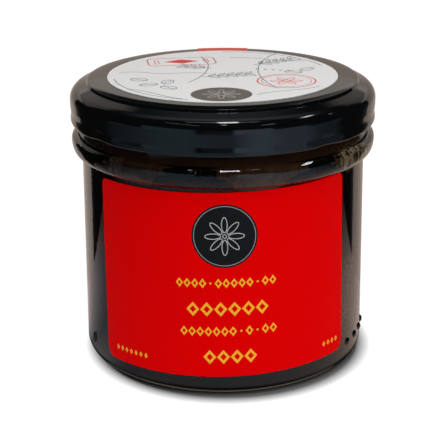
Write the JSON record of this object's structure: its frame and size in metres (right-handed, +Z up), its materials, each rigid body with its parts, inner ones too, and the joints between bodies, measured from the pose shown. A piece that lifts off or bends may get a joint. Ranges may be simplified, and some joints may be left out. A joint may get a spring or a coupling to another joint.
{
  "type": "shut glass jar of mini babas",
  "caption": "Shut low glass jar of small soaked sponge cakes, with a black metal twist-off lid, a red paper label and a round paper seal.",
  "frame": {"origin": "centre of the jar's round foot, on the surface it stands on", "axes": "+Z up the jar's axis, -Y out of the paper label at the front, +X to the right as the label is read"},
  "size_m": [0.0856, 0.0858, 0.0798],
  "materials": {
    "jar_glass": "clear pressed soda-lime glass",
    "lid_metal": "glossy black enamel on tinplate",
    "sticker_paper": "white coated paper with fine grey and red line print",
    "seal_paper": "red printed paper, satin",
    "label_paper": "red printed paper, satin",
    "baba_sponge": "soft open sponge cake, soaked dark brown"
  },
  "bodies": {
    "root": {"jar": "jar_glass", "lid": "lid_metal", "lid_sticker": "sticker_paper", "seal_strip": "seal_paper", "label": "label_paper", "babas": "baba_sponge"}
  },
  "joints": []
}
